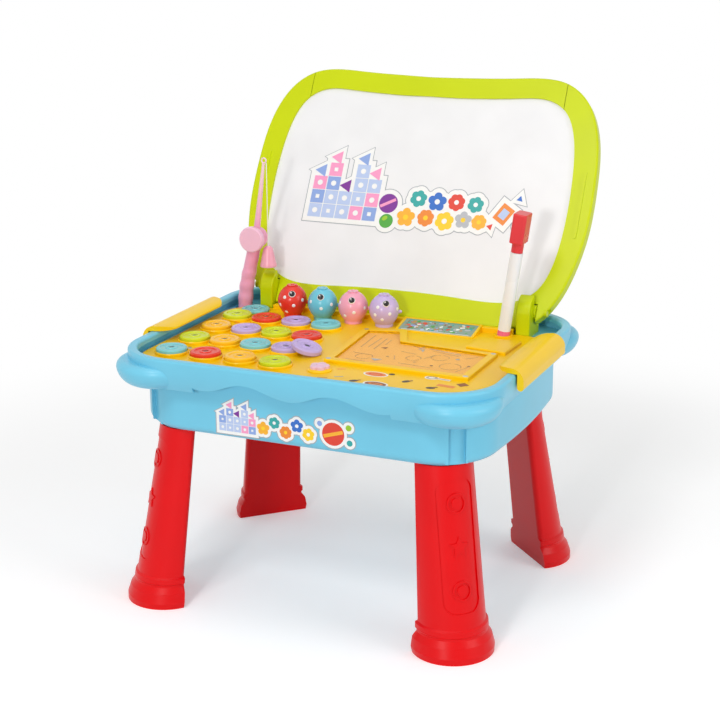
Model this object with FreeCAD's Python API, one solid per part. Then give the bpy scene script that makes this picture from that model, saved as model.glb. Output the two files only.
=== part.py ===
import FreeCAD, Part
import math
import os

# Childrens drawing table: a blue storage tub on four red legs, a yellow play board
# with fishing pieces and a framed picture window, and a drawing board hinged at the
# rear. Millimetres, +Z up, +Y to the rear, +X to the right of a child who sits in
# front. It is built about the tub's centre, and moved at the end so that the origin is
# on the floor below the middle of the whole table.

V = FreeCAD.Vector
X_AXIS = V(1, 0, 0)
Y_AXIS = V(0, 1, 0)
Z_AXIS = V(0, 0, 1)

# Tub
rim_length = 394.0          # over the rim bead, left to right
rim_depth = 316.0           # over the rim bead, front to rear
rim_overhang_x = 12.0       # from the rim's edge in to the tub's side walls
rim_overhang_y = 19.0       # and in to its front and rear walls
rim_corner_r = 60.0
rim_top_z = 263.0
bead_width = 10.0
bead_height = 6.0
bead_round = 2.9
skirt_bottom_z = 231.0
skirt_tuck = 9.0            # how far the skirt curves inwards at its lower edge
skirt_wall = 3.0
wave_pitch = 92.0
wave_height = 6.0
wave_mid_z = 241.0
wave_half_run = 107.0
lobe_x = rim_length / 2 - 42.0
lobe_y = rim_depth / 2 - 38.0
lobe_r = 45.0
lobe_tuck = 10.0
lobe_top_z = 254.0
tub_bottom_z = 185.0
tub_length = rim_length - 2 * rim_overhang_x
tub_depth = rim_depth - 2 * rim_overhang_y
tub_corner_r = 60.0
tub_side_bow = 3.5
tub_wall = 2.5
tub_bottom_round = 9.0
seat_z = 249.0              # upper face of the ledge that carries the play board
ledge_wall = 2.5
rear_deck_y = rim_depth / 2 - 66.0     # the ledge widens to a deck behind this line
deck_slot_front_y = rim_depth / 2 - 56.5
deck_slot_rear_y = rim_depth / 2 - 27.0
groove_width = 17.0
groove_depth = 5.0
groove_turn = 53.6          # degrees from the X axis

# Legs
leg_front_home = (107.0, 93.0)         # the legs' own centre, in from the tub's corner centre
leg_rear_home = (105.0, 99.0)
leg_face_top = 167.3        # flat inner face to that centre, measured along the diagonal
leg_face_floor = 189.9
leg_half_top = 29.8
leg_half_floor = 34.7
leg_swell_top = 28.0
leg_swell_floor = 41.5
leg_corner = 5.0
leg_wall = 2.5
foot_height = 28.0
foot_flare = 6.0
bead_on_leg = 2.0
spigot_height = 22.0
spigot_step = 4.0
socket_gap = 0.3
panel_depth = 1.2
panel_half_width = 18.5
panel_low_z = 46.0
panel_high_z = 171.0
panel_round = 11.0
panel_clear = 8.0           # flat of the inner face that the panel leaves whole
badge_r = 9.6
badge_ring = 1.7
badge_middle_r = 5.2
badge_spread = 41.0         # from the star to each badge
star_r = 10.0

# Play board
board_z = 252.0             # its upper face
play_wall = 2.8
play_half_x = rim_length / 2 - 13.0
play_front_y = 13.0 - rim_depth / 2
play_rear_y = rear_deck_y + 3.5
play_front_r = 46.0
play_rear_r = 34.0
lip_top_z = 257.0
lip_depth = 5.2
cup_columns = 4
cup_rows = 4
cup_pitch_x = 35.0
cup_pitch_y = 47.0
cup_first_x = 28.0 - play_half_x
cup_first_y = -98.0
cup_front_pitch = 38.5
cup_r = 17.2
cup_height = 3.0
cup_floor_z = 253.0
token_r = 15.5
token_height = 5.5
flat_token_height = 3.5
token_gap = 0.05

# Window
card_height = 0.6
window_height = 3.5
window_margin = 8.0
window_sheet = 1.2
window_sheet_z = 253.4
window_lip = 2.5
screw_head_r = 3.0
screw_head_height = 1.2
screw_r = 1.4
pad_height = 3.2
strip_low_x = 21.0
strip_high_x = 102.0
strip_front_y = 67.0
strip_rear_y = 92.5
strip_rise = 5.0            # the picture strip slopes up to the lip by this much
knob_x = 6.0
knob_y = -95.0
knob_base_r = 12.5
knob_petal_r = 4.6

# Drawing board
hinge_y = rim_depth / 2 - 43.0
hinge_z = 273.0
lean = 28.9                 # degrees from upright, leaning to the rear
face_step = 3.6             # front face in front of the hinge axis
axis_up_board = 14.2       # hinge axis above the board's own zero line
frame_thick = 13.0
sheet_thick = 2.5
sheet_recess = 2.0
sheet_grip = 3.5
back_thick = 2.0
seam_x = 148.3
seam_gap = 0.6
outline_steps = 64          # points along an outline that runs beside another one
rib_x = 184.3
rib_low = 95.5
rib_high = 169.0
rib_width = 3.6
rib_height = 0.9
pin_r = 2.25
pin_run_gap = 0.05
pin_head_r = 4.2
pin_head = 3.0
pin_reach = 8.0             # from the notch out to the pin's head

# Hinge posts
post_outer_x = rim_length / 2 - 41.5
post_thick = 15.0
post_inner_x = post_outer_x - post_thick
post_boss = 2.0             # the round boss stands this far out of the post's outer face
post_r = 19.0
post_hub_r = 7.2
post_reach = 13.0           # behind the hinge axis
post_gap = 0.5
notch_rise = 7.8            # the board's notch ends this far above the hinge axis

# Side latches
latch_front_y = -72.0
latch_rear_y = 60.0
latch_inner_x = rim_length / 2 - 22.0
latch_outer_x = rim_length / 2 + 8.0
latch_flap = 6.5            # thickness of the outer flap
latch_top_z = 268.5
latch_low_z = 247.3
latch_gap = 0.4
latch_pin_r = 1.2
lug_r = 1.9
lug_width = 8.0
lug_y = (-52.0, 32.0)

# Corner dishes in the rear deck; the left one holds the fishing rod
dish_x = rim_length / 2 - 22.0
dish_y = rim_depth / 2 - 60.0
dish_r = 11.0
dish_floor_z = 243.0
dish_wall = 2.5

# Fishing rod
rod_y = dish_y
rod_foot_x = -dish_x
rod_socket_r = 5.0
rod_socket_depth = 8.0
grip_low_r = 8.0
grip_high_r = 7.2
finger_grip = 0.7           # how far the three finger swells stand out
reel_x = rod_foot_x + 15.5
reel_z = 329.3
reel_r = 14.0
reel_front_y = rod_y - 14.0
reel_thick = 7.6
hub_r = 11.5
tip_x = rod_foot_x + 27.0
tip_z = 415.0
tip_ring_r = 2.6
tip_wire_r = 0.8
line_d = 1.0
bell_top_z = 321.0
bell_low_z = 298.5
bell_low_r = 9.0
bell_top_r = 5.4

# Marker
marker_x = 129.4
marker_y = 85.0
marker_lean = 8.1           # degrees, towards the right
marker_foot_z = 240.0
marker_r = 6.5
marker_length = 103.0
marker_plug = 19.0
cap_neck_r = 6.1
cap_neck = 10.0
cap_block_width = 14.6
cap_block_depth = 21.0
cap_block = 31.0
cap_block_round = 2.6

# Birds
bird_y = 76.5
bird_first_x = -106.0
bird_pitch = 35.8
bird_r = 15.8
bird_top_z = 286.5
bird_belly_z = 268.5
bird_crest_r = 6.6
bird_crest = 1.6
bird_foot_r = 9.5
bird_foot = 3.0
bird_turn = 20.0            # degrees, beak turned to the rear from +X

parts = {}


def solid_box(x0, x1, y0, y1, z0, z1):
    return Part.makeBox(x1 - x0, y1 - y0, z1 - z0, V(x0, y0, z0))


def rod_shape(radius, length, base, direction=Z_AXIS):
    return Part.makeCylinder(radius, length, base, direction)


def arc(a, b, c):
    return Part.Arc(a, b, c).toShape()


def line(a, b):
    return Part.makeLine(a, b)


def fill(wire, direction):
    return Part.Face(wire).extrude(direction)


def polygon(points, direction):
    return fill(Part.makePolygon(points + [points[0]]), direction)


def mirror_x(shape):
    return shape.mirror(V(0, 0, 0), X_AXIS)


def mirror_y(shape):
    return shape.mirror(V(0, 0, 0), Y_AXIS)


def four_corners(shape):
    right = [shape, mirror_y(shape)]
    return right + [mirror_x(s) for s in right]


def fuse_all(shapes):
    return shapes[0].multiFuse(shapes[1:]).removeSplitter() if len(shapes) > 1 else shapes[0]


def revolve(points, axis_x=0.0, axis_y=0.0):
    """Turned solid from (radius, z) points, closed down its axis."""
    outline = [V(axis_x + r, axis_y, z) for r, z in points]
    wire = Part.makePolygon(outline + [outline[0]])
    return Part.Face(wire).revolve(V(axis_x, axis_y, 0), Z_AXIS, 360)


def round_edges(shape, radius, chosen):
    edges = [e for e in shape.Edges if chosen(e)]
    return shape.makeFillet(radius, edges)


def edge_at_z(z):
    def test(edge):
        box = edge.BoundBox
        return abs(box.ZMin - z) < 1e-4 and abs(box.ZMax - z) < 1e-4
    return test


def bowed_wire(half_x, half_y, radius, bow, z):
    """Rounded rectangle whose two short sides bow outwards."""
    cx = half_x - radius
    cy = half_y - radius
    k = radius * math.sqrt(0.5)
    edges = []
    edges.append(line(V(-cx, -half_y, z), V(cx, -half_y, z)))
    edges.append(arc(V(cx, -half_y, z), V(cx + k, -cy - k, z), V(half_x, -cy, z)))
    if bow > 0:
        edges.append(arc(V(half_x, -cy, z), V(half_x + bow, 0, z), V(half_x, cy, z)))
    else:
        edges.append(line(V(half_x, -cy, z), V(half_x, cy, z)))
    edges.append(arc(V(half_x, cy, z), V(cx + k, cy + k, z), V(cx, half_y, z)))
    edges.append(line(V(cx, half_y, z), V(-cx, half_y, z)))
    edges.append(arc(V(-cx, half_y, z), V(-cx - k, cy + k, z), V(-half_x, cy, z)))
    if bow > 0:
        edges.append(arc(V(-half_x, cy, z), V(-half_x - bow, 0, z), V(-half_x, -cy, z)))
    else:
        edges.append(line(V(-half_x, cy, z), V(-half_x, -cy, z)))
    edges.append(arc(V(-half_x, -cy, z), V(-cx - k, -cy - k, z), V(-cx, -half_y, z)))
    return Part.Wire(edges)


def rim_wire(inset, z):
    return bowed_wire(rim_length / 2 - inset, rim_depth / 2 - inset, rim_corner_r - inset, 0, z)


def tub_wire(inset, z):
    return bowed_wire(tub_length / 2 - inset, tub_depth / 2 - inset, tub_corner_r - inset,
                      tub_side_bow, z)


def rim_prism(inset, z0, z1):
    return fill(rim_wire(inset, z0), V(0, 0, z1 - z0))


def tub_prism(inset, z0, z1):
    return fill(tub_wire(inset, z0), V(0, 0, z1 - z0))


def wave(x):
    return wave_mid_z - wave_height * math.cos(2 * math.pi * x / wave_pitch)


# Skirt: a thin wall that curves inwards below the rim bead. Its lower edge waves
# along the front and the rear.
bead_low_z = rim_top_z - bead_height
skirt_rise = bead_low_z - skirt_bottom_z


def skirt_loft(inset, low=0.0, high=0.0):
    steps = []
    for share in (0.0, 0.35, 0.7, 1.0):
        tuck = skirt_tuck * (1 - share) ** 2
        steps.append(rim_wire(tuck + inset, skirt_bottom_z + skirt_rise * share))
    body = Part.makeLoft(steps, True, False)
    extra = []
    if low > 0:
        extra.append(rim_prism(skirt_tuck + inset, skirt_bottom_z - low, skirt_bottom_z))
    if high > 0:
        extra.append(rim_prism(inset, bead_low_z, bead_low_z + high))
    return fuse_all([body] + extra) if extra else body


skirt = skirt_loft(0).cut(skirt_loft(skirt_wall))
wave_step = wave_pitch / 8
wave_count = int(2 * wave_half_run / wave_step)
wave_start = -wave_step * wave_count / 2
crest = [V(wave_start + wave_step * i, -rim_depth, wave(wave_start + wave_step * i))
         for i in range(wave_count + 1)]
wave_curve = Part.BSplineCurve()
wave_curve.interpolate(crest)
floor_left = V(crest[0].x, -rim_depth, skirt_bottom_z - 5)
floor_right = V(crest[-1].x, -rim_depth, skirt_bottom_z - 5)
wave_wire = Part.Wire([wave_curve.toShape(), line(crest[-1], floor_right),
                       line(floor_right, floor_left), line(floor_left, crest[0])])
wave_cut = fill(wave_wire, V(0, 2 * rim_depth, 0))
skirt = skirt.cut(wave_cut)

# Rim bead: the rounded ring on top
bead = rim_prism(0, bead_low_z, rim_top_z).cut(rim_prism(bead_width, bead_low_z - 1, rim_top_z + 1))
bead = round_edges(bead, bead_round, edge_at_z(rim_top_z))


# Corner lobes: hollow buns that swell out at each corner below the bead
def lobe(shrink, z0, z1):
    mid_z = lobe_top_z - 8.0
    r_top = lobe_r - shrink
    r_low = lobe_r - lobe_tuck - shrink
    bulge_low = arc(V(r_low, 0, z0), V(r_top - lobe_tuck * 0.29, 0, z0 + (mid_z - z0) * 0.45),
                    V(r_top, 0, mid_z))
    bulge_top = arc(V(r_top, 0, mid_z), V(r_top - 2.0, 0, z1 - 2.4), V(r_top - 7.0, 0, z1))
    wire = Part.Wire([line(V(0, 0, z0), V(r_low, 0, z0)), bulge_low, bulge_top,
                      line(V(r_top - 7.0, 0, z1), V(0, 0, z1)), line(V(0, 0, z1), V(0, 0, z0))])
    shape = Part.Face(wire).revolve(V(0, 0, 0), Z_AXIS, 360)
    shape.translate(V(lobe_x, -lobe_y, 0))
    return shape


lobe_shell = lobe(0, skirt_bottom_z, lobe_top_z)
lobe_hollow = lobe(skirt_wall, skirt_bottom_z, lobe_top_z - skirt_wall)
lobe_shell = lobe_shell.cut(lobe_hollow)
lobe_shell = lobe_shell.cut(skirt_loft(skirt_wall, low=6.0, high=6.0))
lobes = four_corners(lobe_shell)

# Tub body with its bottom, and the ledge that carries the play board
body = tub_prism(0, tub_bottom_z, seat_z)
body = round_edges(body, tub_bottom_round, edge_at_z(tub_bottom_z))
ledge_low_z = seat_z - ledge_wall
ledge = rim_prism(skirt_wall - 0.6, ledge_low_z, seat_z)
inner_floor_z = tub_bottom_z + tub_wall
front_hollow = tub_prism(tub_wall, inner_floor_z, seat_z + 1)
front_hollow = round_edges(front_hollow, tub_bottom_round - tub_wall, edge_at_z(inner_floor_z))
deck_keep = solid_box(-rim_length, rim_length, rear_deck_y, rim_depth, ledge_low_z, seat_z + 2)
hollow = front_hollow.cut(deck_keep)

# Corner grooves: an upright channel at each corner, thickened from inside
corner_x = tub_length / 2 - tub_corner_r
corner_y = tub_depth / 2 - tub_corner_r


def corner_block(depth_in, depth_out, width, z0, z1):
    block = solid_box(tub_corner_r - depth_in, tub_corner_r + depth_out,
                      -width / 2, width / 2, z0, z1)
    block.rotate(V(0, 0, 0), Z_AXIS, -groove_turn)
    block.translate(V(corner_x, -corner_y, 0))
    return block


groove_back = corner_block(groove_depth + tub_wall, -1.0, groove_width + 2 * tub_wall,
                           inner_floor_z, ledge_low_z + 1)
groove_back = groove_back.common(tub_prism(1.0, tub_bottom_z, seat_z))
groove_cut = corner_block(groove_depth, 10, groove_width, tub_bottom_z - 1, ledge_low_z)


# Legs: a D section, flat towards the table's centre, that swells outwards and splays
def leg_values(z):
    share = z / tub_bottom_z
    face = leg_face_floor + (leg_face_top - leg_face_floor) * share
    half = leg_half_floor + (leg_half_top - leg_half_floor) * share
    swell = leg_swell_floor + (leg_swell_top - leg_swell_floor) * share
    return face, half, swell


def leg_wire(z, grow, at=None):
    face, half, swell = leg_values(z if at is None else at)
    face = face - grow
    half = half + grow
    apex = face + swell + 2 * grow
    c = leg_corner
    k = c * 0.293
    edges = [line(V(face, -half + c, z), V(face, half - c, z)),
             arc(V(face, half - c, z), V(face + k, half - k, z), V(face + c, half, z)),
             arc(V(face + c, half, z), V(apex, 0, z), V(face + c, -half, z)),
             arc(V(face + c, -half, z), V(face + k, -half + k, z), V(face, -half + c, z))]
    return Part.Wire(edges)


def leg_solid(levels, ruled=True):
    return Part.makeLoft([leg_wire(z, grow) for z, grow in levels], True, ruled)


def leg_prism(z0, z1, grow, at):
    return fill(leg_wire(z0, grow, at), V(0, 0, z1 - z0))


def star_prism(centre_z, radius, x0, x1):
    points = []
    for i in range(10):
        r = radius if i % 2 == 0 else radius * 0.5
        turn = math.pi * i / 5
        points.append(V(x0, r * math.sin(turn), centre_z + r * math.cos(turn)))
    return polygon(points, V(x1 - x0, 0, 0))


leg_outer = leg_solid([(foot_height, 0), (tub_bottom_z, 0)])
foot = leg_solid([(0, foot_flare - 1.0), (6, foot_flare), (foot_height * 0.55, foot_flare * 0.75),
                  (foot_height - 7, 1.0), (foot_height, 1.0)])
leg_bead = leg_solid([(foot_height - 5, 0.5), (foot_height - 3.5, bead_on_leg),
                      (foot_height + 1.5, bead_on_leg), (foot_height + 3, 0)])
# The face towards the table's centre stays smooth: foot and bead end flush with it
past_foot = 2 * foot_height
beyond_face = polygon([V(0, -past_foot, -1), V(leg_values(-1)[0], -past_foot, -1),
                       V(leg_values(past_foot)[0], -past_foot, past_foot),
                       V(0, -past_foot, past_foot)], V(0, 2 * past_foot, 0))
foot = foot.cut(beyond_face)
leg_bead = leg_bead.cut(beyond_face)
leg_inset = leg_solid([(foot_height, -panel_depth), (tub_bottom_z, -panel_depth)])
panel_x0 = leg_face_top + leg_corner
panel_x1 = leg_face_floor + leg_swell_floor + 10
panel = solid_box(panel_x0, panel_x1, -panel_half_width, panel_half_width, panel_low_z, panel_high_z)
panel = round_edges(panel, panel_round,
                    lambda e: e.BoundBox.YLength < 1e-6 and e.BoundBox.ZLength < 1e-6)
badge_mid = (panel_low_z + panel_high_z) / 2
for z in (badge_mid - badge_spread, badge_mid + badge_spread):
    ring = rod_shape(badge_r, panel_x1 - panel_x0, V(panel_x0, 0, z), X_AXIS)
    ring = ring.cut(rod_shape(badge_r - badge_ring, panel_x1 - panel_x0, V(panel_x0, 0, z), X_AXIS))
    middle = rod_shape(badge_middle_r, panel_x1 - panel_x0, V(panel_x0, 0, z), X_AXIS)
    panel = panel.cut(ring).cut(middle)
panel = panel.cut(star_prism(badge_mid, star_r, panel_x0, panel_x1))
inner_side = polygon([V(0, -panel_x1, panel_low_z - 1),
                      V(leg_values(panel_low_z - 1)[0] + panel_clear, -panel_x1, panel_low_z - 1),
                      V(leg_values(panel_high_z + 1)[0] + panel_clear, -panel_x1, panel_high_z + 1),
                      V(0, -panel_x1, panel_high_z + 1)], V(0, 2 * panel_x1, 0))
panel = panel.cut(leg_inset).cut(inner_side)
leg_outer = leg_outer.cut(panel)
spigot = leg_prism(tub_bottom_z, tub_bottom_z + spigot_height, -spigot_step, tub_bottom_z)
leg_core = leg_solid([(-1, -leg_wall), (tub_bottom_z - 3, -leg_wall)])
leg = fuse_all([leg_outer, foot, leg_bead, spigot]).cut(leg_core)
sleeve = leg_prism(tub_bottom_z + 0.5, tub_bottom_z + spigot_height + 2 * tub_wall,
                   tub_wall + socket_gap - spigot_step, tub_bottom_z)
sleeve_bore = leg_prism(tub_bottom_z - 1, tub_bottom_z + spigot_height + tub_wall,
                        socket_gap - spigot_step, tub_bottom_z)


def four_legs(shape):
    """The shape at the four leg places: front right, rear right, front left, rear left."""
    places = []
    for home, rear in ((leg_front_home, False), (leg_rear_home, True)):
        one = shape.copy()
        one.rotate(V(0, 0, 0), Z_AXIS, -45)
        one.translate(V(corner_x - home[0], home[1] - corner_y, 0))
        places.append(mirror_y(one) if rear else one)
    return places + [mirror_x(one) for one in places]


leg_names = ("leg_front_right", "leg_rear_right", "leg_front_left", "leg_rear_left")
for name, shape in zip(leg_names, four_legs(leg)):
    parts[name] = shape

# Pen sleeve: it hangs from the play board along the marker's own leaning axis, and the
# tub's deck is cut away round it
lean_rad = math.radians(marker_lean)
marker_axis = V(math.sin(lean_rad), 0, math.cos(lean_rad))
marker_foot = V(marker_x, marker_y, marker_foot_z)
socket_start = marker_foot - marker_axis * 2.2
pen_sleeve_r = marker_r + 2.0
pen_sleeve = rod_shape(pen_sleeve_r, board_z - marker_foot_z + 1.4, socket_start, marker_axis)
sleeve_clear = rod_shape(pen_sleeve_r + socket_gap, 20, socket_start, marker_axis)

# Rod socket and latch lugs on the tub
dish_base_z = dish_floor_z - rod_socket_depth - dish_wall
dish_boss = rod_shape(rod_socket_r + dish_wall, dish_floor_z - dish_base_z,
                      V(dish_x, dish_y, dish_base_z))
dish_boss = dish_boss.fuse(rod_shape(dish_r + dish_wall, ledge_low_z + 1 - dish_floor_z + dish_wall,
                                     V(dish_x, dish_y, dish_floor_z - dish_wall)))
dish_cut = rod_shape(dish_r, seat_z + 1 - dish_floor_z, V(dish_x, dish_y, dish_floor_z))
dish_cut = dish_cut.fuse(rod_shape(rod_socket_r + socket_gap, rod_socket_depth + 1,
                                   V(dish_x, dish_y, dish_floor_z - rod_socket_depth)))
latch_axis_x = latch_outer_x - latch_flap / 2
latch_axis_z = latch_low_z + latch_flap / 2
lugs = []
lug_bores = []
for y in lug_y:
    lug = solid_box(rim_length / 2 - skirt_wall + 0.5, latch_axis_x, y - lug_width / 2,
                    y + lug_width / 2, latch_axis_z - lug_r, latch_axis_z + lug_r)
    lug = lug.fuse(rod_shape(lug_r, lug_width, V(latch_axis_x, y - lug_width / 2, latch_axis_z),
                             Y_AXIS))
    bore = rod_shape(latch_pin_r, lug_width + 2, V(latch_axis_x, y - lug_width / 2 - 1,
                                                  latch_axis_z), Y_AXIS)
    lugs = lugs + [lug, mirror_x(lug)]
    lug_bores = lug_bores + [bore, mirror_x(bore)]

deck_slot = solid_box(-post_inner_x + 1, post_inner_x - 1, deck_slot_front_y, deck_slot_rear_y,
                      ledge_low_z - 1, seat_z + 1)

# Screws that hold the hinge posts down on the deck
post_screw_y = (102.5, 122.5)
post_mid_x = (post_inner_x + post_outer_x) / 2
post_screw_depth = 9.0
post_screws = []
deck_holes = []
for y in post_screw_y:
    shank = rod_shape(screw_r, post_screw_depth + ledge_wall, V(post_mid_x, y, ledge_low_z))
    head = rod_shape(screw_head_r, screw_head_height, V(post_mid_x, y,
                                                        ledge_low_z - screw_head_height))
    hole = rod_shape(screw_r, ledge_wall + 2, V(post_mid_x, y, ledge_low_z - 1))
    screw = shank.fuse(head)
    post_screws = post_screws + [screw, mirror_x(screw)]
    deck_holes = deck_holes + [hole, mirror_x(hole)]

tub = fuse_all([body, ledge]).cut(hollow)
tub = fuse_all([tub, skirt, bead] + lobes + four_corners(groove_back) + four_legs(sleeve)
               + [dish_boss, mirror_x(dish_boss)] + lugs)
cuts = four_corners(groove_cut) + four_legs(sleeve_bore) + [dish_cut, mirror_x(dish_cut), deck_slot]
tub = tub.cut(Part.makeCompound(cuts + lug_bores + deck_holes)).cut(sleeve_clear)
parts["tub"] = tub
parts["post_screws"] = Part.makeCompound(post_screws)


# Play board: a thin yellow tray with raised cups, a stop lip and a pen socket
def play_plan(inset, z):
    hx = play_half_x - inset
    y0 = play_front_y + inset
    y1 = play_rear_y - inset
    rf = play_front_r - inset
    rr = play_rear_r - inset
    kf = rf * (1 - math.sqrt(0.5))
    kr = rr * (1 - math.sqrt(0.5))
    edges = [line(V(-hx + rf, y0, z), V(hx - rf, y0, z)),
             arc(V(hx - rf, y0, z), V(hx - kf, y0 + kf, z), V(hx, y0 + rf, z)),
             line(V(hx, y0 + rf, z), V(hx, y1 - rr, z)),
             arc(V(hx, y1 - rr, z), V(hx - kr, y1 - kr, z), V(hx - rr, y1, z)),
             line(V(hx - rr, y1, z), V(-hx + rr, y1, z)),
             arc(V(-hx + rr, y1, z), V(-hx + kr, y1 - kr, z), V(-hx, y1 - rr, z)),
             line(V(-hx, y1 - rr, z), V(-hx, y0 + rf, z)),
             arc(V(-hx, y0 + rf, z), V(-hx + kf, y0 + kf, z), V(-hx + rf, y0, z))]
    return Part.Wire(edges)


play = fill(play_plan(0, board_z - play_wall), V(0, 0, play_wall))
lip_half = post_inner_x - 2.5
lip = solid_box(-lip_half, lip_half, play_rear_y - 2.5, play_rear_y + lip_depth,
                board_z - play_wall, lip_top_z)
lip = round_edges(lip, 1.0, edge_at_z(lip_top_z))
cup_places = []
for row in range(cup_rows):
    for column in range(cup_columns):
        pitch = cup_front_pitch if row == 0 else cup_pitch_x
        cup_places.append(V(cup_first_x + pitch * column, cup_first_y + cup_pitch_y * row, 0))
cup_wall_top = board_z + cup_height
cup = revolve([(0, board_z - 0.5), (cup_r, board_z - 0.5), (cup_r, cup_wall_top - 1.0),
               (cup_r - 0.7, cup_wall_top), (token_r + 0.7, cup_wall_top),
               (token_r + 0.4, cup_wall_top - 0.8), (token_r + 0.4, cup_floor_z),
               (0, cup_floor_z)])
cups = []
for place in cup_places:
    one = cup.copy()
    one.translate(place)
    cups.append(one)

# Window corners, clockwise from the front left, as the picture card shows them
card_corners = [V(6, -62, 0), V(143, -67, 0), V(142.5, 6, 0), V(44.5, 16, 0),
                V(30, 50, 0), V(-1.5, 42, 0)]


def window_prism(grow, z0, z1):
    wire = Part.makePolygon(card_corners + [card_corners[0]])
    if grow > 0:
        wire = wire.makeOffset2D(grow, 2)
    shape = fill(wire, V(0, 0, z1 - z0))
    shape.translate(V(0, 0, z0))
    return shape


card_top_z = board_z + card_height
window_card = window_prism(0, board_z, card_top_z)
window_sheet_top = window_sheet_z + window_sheet
window_top_z = board_z + window_height
window_frame = window_prism(window_margin, board_z, window_top_z)
window_frame = round_edges(window_frame, 1.2, edge_at_z(window_top_z))
window_frame = window_frame.cut(window_prism(0, board_z - 1, window_top_z + 1))
rabbet = window_prism(window_lip, board_z - 1, window_sheet_top + 0.1)
window_frame = window_frame.cut(rabbet)
window_sheet_solid = window_prism(window_lip - 0.3, window_sheet_z, window_sheet_top)
window_rest = window_prism(window_lip, board_z, window_sheet_z - 0.05)
window_rest = window_rest.cut(window_prism(0.6, board_z - 1, window_sheet_z + 1))

# Four small screws through the frame's corners into the play board
screw_spots = [V(2.0, -66.0, 0), V(147.0, -71.0, 0), V(146.5, 9.8, 0), V(-5.3, 45.5, 0)]
window_screws = []
screw_holes = []
for spot in screw_spots:
    spot_top = V(spot.x, spot.y, window_top_z - screw_head_height)
    head = rod_shape(screw_head_r - 0.4, screw_head_height, spot_top)
    shank = rod_shape(screw_r - 0.3, window_height + play_wall - screw_head_height,
                      V(spot.x, spot.y, board_z - play_wall))
    window_screws.append(head.fuse(shank))
    screw_holes.append(rod_shape(screw_head_r - 0.35, screw_head_height + 1, spot_top))
    screw_holes.append(rod_shape(screw_r - 0.25, window_height + play_wall + 2,
                                 V(spot.x, spot.y, board_z - play_wall - 1)))
screw_cut = Part.makeCompound(screw_holes)
window_frame = window_frame.cut(screw_cut)

# Raised pad behind the window, and the sloping picture strip in front of the lip
pad_plan = [V(112, 26, board_z - 0.5), V(156, 19, board_z - 0.5), V(158, 64, board_z - 0.5),
            V(112, 64, board_z - 0.5)]
pad = polygon(pad_plan, V(0, 0, pad_height + 0.5))
pad = round_edges(pad, 1.5, edge_at_z(board_z + pad_height))


# The strip lies on a seat that rises towards the lip
strip_seat_z = board_z + 0.4
strip_run = strip_rear_y - strip_front_y


def strip_slab(margin, low, high):
    """A slab along the picture strip, between low and high above its sloping seat."""
    x = strip_low_x - margin
    corners = []
    for y, up in ((strip_front_y - margin, low), (strip_rear_y + margin, low),
                  (strip_rear_y + margin, high), (strip_front_y - margin, high)):
        z = strip_seat_z + strip_rise * (y - strip_front_y) / strip_run + up
        corners.append(V(x, y, z))
    return polygon(corners, V(strip_high_x - strip_low_x + 2 * margin, 0, 0))


strip_frame = strip_slab(3.0, -8.0, 0.9)
strip_frame = strip_frame.cut(solid_box(0, 120, 50, 110, board_z - 20, board_z - 0.5))
strip_frame = strip_frame.cut(strip_slab(0.2, 0, 3.0))
strip_card = strip_slab(0, 0, card_height)

# Knob: a low round base with a flower of five petals
knob_base = revolve([(0, board_z - 0.5), (knob_base_r, board_z - 0.5), (knob_base_r, board_z + 0.8),
                     (knob_base_r - 2.2, board_z + 2.2), (0, board_z + 2.2)], knob_x, knob_y)
petal_low_z = board_z + 2.2


def petal(radius, height, x, y):
    return revolve([(0, petal_low_z), (radius, petal_low_z), (radius, petal_low_z + height - 0.8),
                    (radius - 0.8, petal_low_z + height), (0, petal_low_z + height)], x, y)


petals = [petal(3.6, 4.0, knob_x, knob_y)]
for i in range(5):
    turn = 2 * math.pi * i / 5
    petals.append(petal(knob_petal_r, 3.0, knob_x + 5.4 * math.sin(turn),
                        knob_y + 5.4 * math.cos(turn)))
parts["flower_knob"] = fuse_all(petals)

pen_collar = rod_shape(marker_r + 3.0, 2.5, V(marker_x + 1.6, marker_y, board_z - 0.5))
pen_bore = rod_shape(marker_r + socket_gap, 40, marker_foot - marker_axis * 0.1, marker_axis)

play = fuse_all([play, lip, pad, strip_frame, knob_base, pen_sleeve, pen_collar] + cups)
bowls = Part.makeCompound([rod_shape(token_r + 0.4, cup_height, V(p.x, p.y, cup_floor_z))
                           for p in cup_places])
play = play.cut(bowls).cut(pen_bore).cut(screw_cut)
window_frame = fuse_all([window_frame, window_rest])
parts["play_board"] = play
parts["window_frame"] = window_frame
parts["window_card"] = window_card
parts["window_sheet"] = window_sheet_solid
parts["window_screws"] = Part.makeCompound(window_screws)
parts["picture_strip"] = strip_card


# Fishing tokens: turned discs with a raised rim and a dimple
def token(height):
    return revolve([(0, 0), (token_r - 0.8, 0), (token_r, 0.8), (token_r, height - 1.2),
                    (token_r - 1.2, height), (token_r - 4.2, height), (token_r - 5.0, height - 0.9),
                    (6.4, height - 0.9), (5.8, height), (3.6, height), (3.0, height - 1.4),
                    (0, height - 1.4)])


token_colours = (("teal", "red", "yellow", "lime"), ("lime", "yellow", "teal", "purple"),
                 ("yellow", "purple", "lime", "red"), ("lime", "red", "purple", "teal"))
token_places = {}
for row in range(cup_rows):
    for column in range(cup_columns):
        name = "token_" + token_colours[row][column] + "_" + str(row + 1) + str(column + 1)
        place = cup_places[row * cup_columns + column]
        disc = token(token_height)
        disc.translate(V(place.x, place.y, cup_floor_z + token_gap))
        parts[name] = disc
        token_places[name] = place
flat_disc = token(flat_token_height)
flat_disc.translate(V(-lobe_x + 3.0, play_rear_y - 17.5, board_z + token_gap))
parts["token_teal_flat"] = flat_disc

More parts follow.
